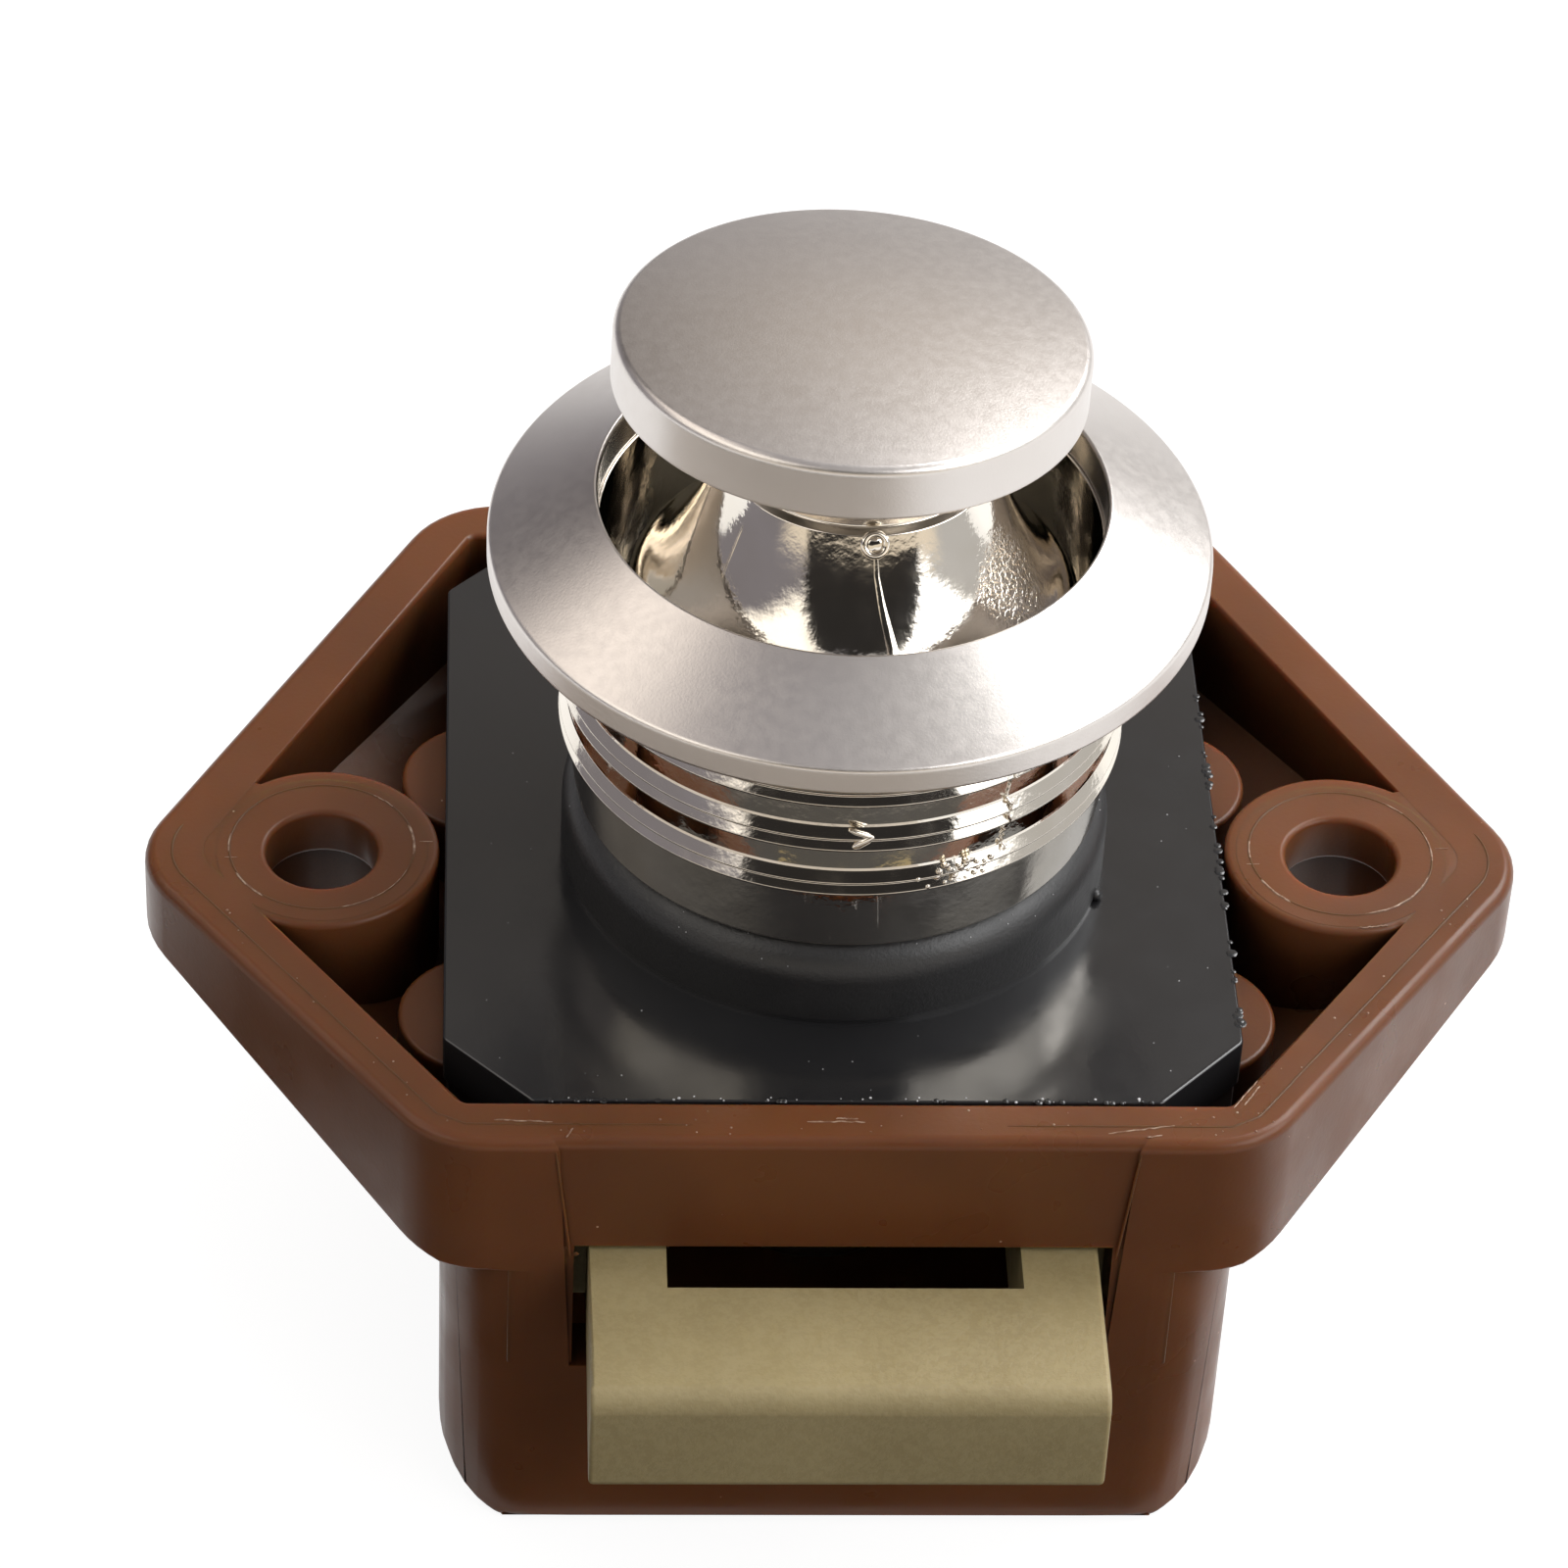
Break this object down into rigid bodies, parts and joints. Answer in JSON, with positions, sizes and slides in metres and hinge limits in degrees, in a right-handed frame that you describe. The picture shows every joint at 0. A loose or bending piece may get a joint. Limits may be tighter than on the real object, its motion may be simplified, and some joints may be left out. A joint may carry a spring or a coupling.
{
  "type": "push button cabinet lock",
  "caption": "Push button cabinet lock: moulded case with wing flange, sprung sliding bolt, and a nickel knob in a round rosette whose wedge legs draw the bolt back.",
  "frame": {"origin": "midway between the centres of the two mounting screw holes, on the rim plane of the case, which is the face that meets the inside of the door", "axes": "+Z points out through the door along the button, -Y to the end of the bolt, +X along the line of the two screws"},
  "size_m": [0.064, 0.0545, 0.0553],
  "materials": {
    "case_plastic": "satin brown moulded plastic",
    "black_plastic": "glossy black moulded plastic, matte on the round boss",
    "satin_nickel": "satin nickel plate",
    "bright_nickel": "polished nickel plate over moulded plastic",
    "bolt_plastic": "beige moulded acetal",
    "plunger_plastic": "natural white acetal",
    "steel": "zinc-plated steel",
    "insert_brass": "turned brass"
  },
  "bodies": {
    "case": {"lock_case": "case_plastic", "cover_plate": "black_plastic", "cover_pins": "steel", "rosette_ring": "satin_nickel", "rosette_collar": "bright_nickel", "spring_seat": "steel", "guide_rod_left": "steel", "guide_rod_right": "steel", "plunger_spring": "steel", "bolt_spring_left": "steel", "bolt_spring_right": "steel"},
    "knob": {"knob_cap": "satin_nickel", "cap_insert": "insert_brass", "knob_skirt": "bright_nickel", "knob_screw": "steel", "spring_washer": "steel", "plunger": "plunger_plastic"},
    "bolt": {"latch_bolt": "bolt_plastic"}
  },
  "joints": [
    {"name": "knob_slide", "type": "slide", "parent": "case", "child": "knob", "axis": [0, 0, -1], "range_m": [0, 0.0088], "stiffness_N_per_m": 600, "springref_m": -0.006, "deforming": ["plunger_spring"]},
    {"name": "bolt_slide", "type": "slide", "parent": "case", "child": "bolt", "axis": [0, 1, 0], "range_m": [0, 0.0088], "deforming": ["bolt_spring_left", "bolt_spring_right"]}
  ],
  "couplings": [
    {"joint": "bolt_slide", "follows": "knob_slide", "ratio": 1}
  ]
}
